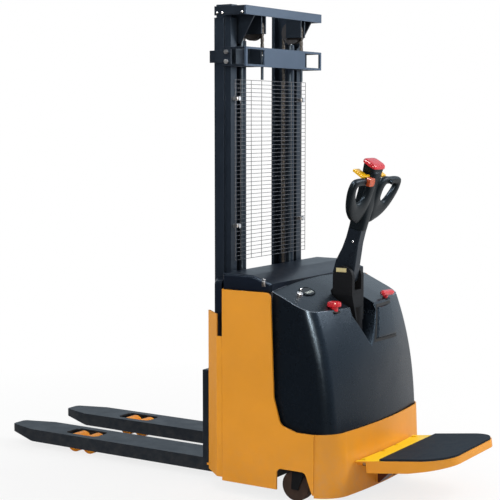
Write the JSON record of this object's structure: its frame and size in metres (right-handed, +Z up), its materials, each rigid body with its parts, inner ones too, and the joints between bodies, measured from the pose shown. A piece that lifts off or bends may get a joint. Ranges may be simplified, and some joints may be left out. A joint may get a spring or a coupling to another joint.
{
  "type": "walkie stacker",
  "caption": "Pedestrian pallet stacker with a two-stage lifting mast, long forks over support legs, a tiller-steered drive unit and a fold-up rider platform.",
  "frame": {"origin": "on the floor, midway along the truck's length and on its centre line", "axes": "+X from the fork tips towards the operator, +Y to the operator's right when facing the forks, +Z up"},
  "size_m": [2.268, 0.85, 2.008],
  "materials": {
    "mast_black": "satin black paint",
    "fork_black": "satin black paint",
    "leg_black": "satin black paint",
    "body_yellow": "semi-gloss orange-yellow paint",
    "frame_dark": "matt dark paint",
    "hood_black": "glossy moulded black",
    "cover_grey": "satin moulded dark grey",
    "crossbar_grey": "blue-grey satin paint",
    "wire_grey": "bright zinc",
    "zinc": "zinc plated",
    "chrome_rod": "hard chrome",
    "roller_steel": "ground steel",
    "chain_steel": "oiled leaf chain",
    "pulley_black": "dark cast iron",
    "roller_amber": "amber polyurethane",
    "battery_case": "dark tray",
    "oil_white": "translucent tank, dark pump",
    "alu_cast": "cast aluminium",
    "gear_iron": "painted casting",
    "drive_tyre": "dark polyurethane tyre, iron hub",
    "caster_tyre": "brown polyurethane",
    "handle_black": "grained black moulding",
    "arm_black": "black coated casting",
    "button_red": "glossy red",
    "wing_yellow": "glossy yellow",
    "rocker_orange": "glossy orange-red",
    "mat_rubber": "ribbed rubber",
    "key_metal": "plated"
  },
  "bodies": {
    "chassis": {"chassis_frame": "frame_dark", "support_leg_left": "leg_black", "support_leg_right": "leg_black", "side_panel_left": "body_yellow", "side_panel_right": "body_yellow", "rear_skirt": "body_yellow", "rear_hood": "hood_black", "battery_cover": "cover_grey", "mast_base_covers": "hood_black", "rear_hatch": "hood_black", "outer_mast_left": "mast_black", "outer_mast_right": "mast_black", "outer_mast_top_tie": "crossbar_grey", "outer_mast_low_tie": "mast_black", "mesh_guard": "wire_grey", "mast_bolts": "zinc", "lift_cylinders": "mast_black", "chain_anchors": "zinc", "chain_rear_strands": "chain_steel", "battery": "battery_case", "hydraulic_power_pack": "oil_white", "controller": "alu_cast", "dash_instruments": "handle_black", "platform_hinge": "zinc"},
    "inner_mast": {"inner_mast_left": "mast_black", "inner_mast_right": "mast_black", "inner_mast_top_beam": "crossbar_grey", "inner_mast_low_tie": "mast_black", "piston_rods": "chrome_rod", "chain_front_strands": "chain_steel"},
    "mast_roller_pair": {"mast_rollers": "roller_steel"},
    "chain_pulley_pair": {"chain_pulleys": "pulley_black"},
    "carriage": {"fork_carriage": "fork_black", "fork_left": "fork_black", "fork_right": "fork_black"},
    "upper_carriage_rollers": {"carriage_rollers_upper": "roller_steel"},
    "lower_carriage_rollers": {"carriage_rollers_lower": "roller_steel"},
    "drive_unit": {"drive_gearbox": "gear_iron", "drive_motor": "gear_iron", "tiller_base": "arm_black"},
    "drive_tyre": {"drive_wheel": "drive_tyre"},
    "tiller": {"tiller_arm": "arm_black", "tiller_head": "handle_black"},
    "belly_switch": {"belly_button": "button_red"},
    "throttle": {"throttle_wings": "wing_yellow"},
    "lift_switch": {"lift_rocker": "rocker_orange"},
    "horn": {"horn_button": "handle_black"},
    "platform": {"platform_plate": "body_yellow", "platform_mat": "mat_rubber"},
    "stop_button": {"emergency_stop": "button_red"},
    "main_switch_handle": {"main_switch": "button_red"},
    "key": {"ignition_key": "key_metal"},
    "caster_swivel_left": {"caster_fork_left": "zinc"},
    "caster_roller_left": {"caster_wheel_left": "caster_tyre"},
    "load_roller_left_front_body": {"load_roller_left_front": "roller_amber"},
    "load_roller_left_rear_body": {"load_roller_left_rear": "roller_amber"},
    "caster_swivel_right": {"caster_fork_right": "zinc"},
    "caster_roller_right": {"caster_wheel_right": "caster_tyre"},
    "load_roller_right_front_body": {"load_roller_right_front": "roller_amber"},
    "load_roller_right_rear_body": {"load_roller_right_rear": "roller_amber"}
  },
  "joints": [
    {"name": "inner_mast_lift", "type": "slide", "parent": "chassis", "child": "inner_mast", "axis": [0, 0, 1], "range_m": [0, 1.45], "deforming": ["chain_rear_strands"]},
    {"name": "carriage_lift", "type": "slide", "parent": "inner_mast", "child": "carriage", "axis": [0, 0, 1], "range_m": [0, 1.45], "deforming": ["chain_front_strands"]},
    {"name": "mast_rollers_spin", "type": "hinge", "parent": "inner_mast", "child": "mast_roller_pair", "pos_m": [0.1105, 0, 0.112], "axis": [0, 1, 0], "continuous": true},
    {"name": "chain_pulleys_spin", "type": "hinge", "parent": "inner_mast", "child": "chain_pulley_pair", "pos_m": [0.175, 0, 1.908], "axis": [0, 1, 0], "continuous": true},
    {"name": "carriage_rollers_upper_spin", "type": "hinge", "parent": "carriage", "child": "upper_carriage_rollers", "pos_m": [0.0835, 0, 0.43], "axis": [0, 1, 0], "continuous": true},
    {"name": "carriage_rollers_lower_spin", "type": "hinge", "parent": "carriage", "child": "lower_carriage_rollers", "pos_m": [0.0835, 0, 0.14], "axis": [0, 1, 0], "continuous": true},
    {"name": "load_roller_left_front_spin", "type": "hinge", "parent": "chassis", "child": "load_roller_left_front_body", "pos_m": [-0.757, -0.1975, 0.042], "axis": [0, 1, 0], "continuous": true},
    {"name": "load_roller_left_rear_spin", "type": "hinge", "parent": "chassis", "child": "load_roller_left_rear_body", "pos_m": [-0.671, -0.1975, 0.042], "axis": [0, 1, 0], "continuous": true},
    {"name": "caster_left_swivel", "type": "hinge", "parent": "chassis", "child": "caster_swivel_left", "pos_m": [0.542, -0.366, 0.136], "axis": [0, 0, 1], "continuous": true},
    {"name": "caster_left_spin", "type": "hinge", "parent": "caster_swivel_left", "child": "caster_roller_left", "pos_m": [0.522, -0.366, 0.0625], "axis": [0, 1, 0], "continuous": true},
    {"name": "load_roller_right_front_spin", "type": "hinge", "parent": "chassis", "child": "load_roller_right_front_body", "pos_m": [-0.757, 0.1975, 0.042], "axis": [0, 1, 0], "continuous": true},
    {"name": "load_roller_right_rear_spin", "type": "hinge", "parent": "chassis", "child": "load_roller_right_rear_body", "pos_m": [-0.671, 0.1975, 0.042], "axis": [0, 1, 0], "continuous": true},
    {"name": "caster_right_swivel", "type": "hinge", "parent": "chassis", "child": "caster_swivel_right", "pos_m": [0.542, 0.366, 0.136], "axis": [0, 0, 1], "continuous": true},
    {"name": "caster_right_spin", "type": "hinge", "parent": "caster_swivel_right", "child": "caster_roller_right", "pos_m": [0.522, 0.366, 0.0625], "axis": [0, 1, 0], "continuous": true},
    {"name": "tiller_steer", "type": "hinge", "parent": "chassis", "child": "drive_unit", "pos_m": [0.604, -0.054, 0.26], "axis": [0, 0, 1], "range_deg": [-90, 90]},
    {"name": "drive_wheel_spin", "type": "hinge", "parent": "drive_unit", "child": "drive_tyre", "pos_m": [0.604, -0.054, 0.105], "axis": [0, 1, 0], "continuous": true},
    {"name": "tiller_tilt", "type": "hinge", "parent": "drive_unit", "child": "tiller", "pos_m": [0.576, -0.054, 0.885], "axis": [0, 1, 0], "range_deg": [0, 60], "stiffness_Nm_per_rad": 16, "springref_deg": -29.09},
    {"name": "belly_button_press", "type": "slide", "parent": "tiller", "child": "belly_switch", "axis": [-0.2588, 0, -0.9659], "range_m": [0, 0.01], "stiffness_N_per_m": 400, "springref_m": -0.012},
    {"name": "throttle_turn", "type": "hinge", "parent": "tiller", "child": "throttle", "pos_m": [0.68781, -0.054, 1.30228], "axis": [0, 1, 0], "range_deg": [-20, 20], "stiffness_Nm_per_rad": 2},
    {"name": "lift_rocker_tilt", "type": "hinge", "parent": "tiller", "child": "lift_switch", "pos_m": [0.72218, -0.148, 1.27495], "axis": [0, 1, 0], "range_deg": [-8, 8], "stiffness_Nm_per_rad": 0.8},
    {"name": "horn_press", "type": "slide", "parent": "tiller", "child": "horn", "axis": [-0.9272, 0, 0.3746], "range_m": [0, 0.003], "stiffness_N_per_m": 300, "springref_m": -0.003},
    {"name": "platform_fold", "type": "hinge", "parent": "chassis", "child": "platform", "pos_m": [0.759, 0, 0.1555], "axis": [0, 1, 0], "range_deg": [-82.6, 7.4], "stiffness_Nm_per_rad": 30, "springref_deg": -37.96},
    {"name": "emergency_stop_press", "type": "slide", "parent": "chassis", "child": "stop_button", "axis": [-0.4137, 0.0706, -0.9077], "range_m": [0, 0.008]},
    {"name": "main_switch_pull", "type": "slide", "parent": "chassis", "child": "main_switch_handle", "axis": [0.414, 0.0576, 0.9084], "range_m": [0, 0.02]},
    {"name": "key_turn", "type": "hinge", "parent": "chassis", "child": "key", "pos_m": [0.486, -0.3, 0.82553], "axis": [0.4131, -0.0882, 0.9064], "range_deg": [0, 90]}
  ],
  "couplings": [
    {"joint": "carriage_lift", "follows": "inner_mast_lift", "ratio": 1},
    {"joint": "mast_rollers_spin", "follows": "inner_mast_lift", "rad_per_m": -43.103},
    {"joint": "carriage_rollers_upper_spin", "follows": "inner_mast_lift", "rad_per_m": -43.103},
    {"joint": "carriage_rollers_lower_spin", "follows": "inner_mast_lift", "rad_per_m": -43.103},
    {"joint": "chain_pulleys_spin", "follows": "inner_mast_lift", "rad_per_m": 22.075}
  ]
}
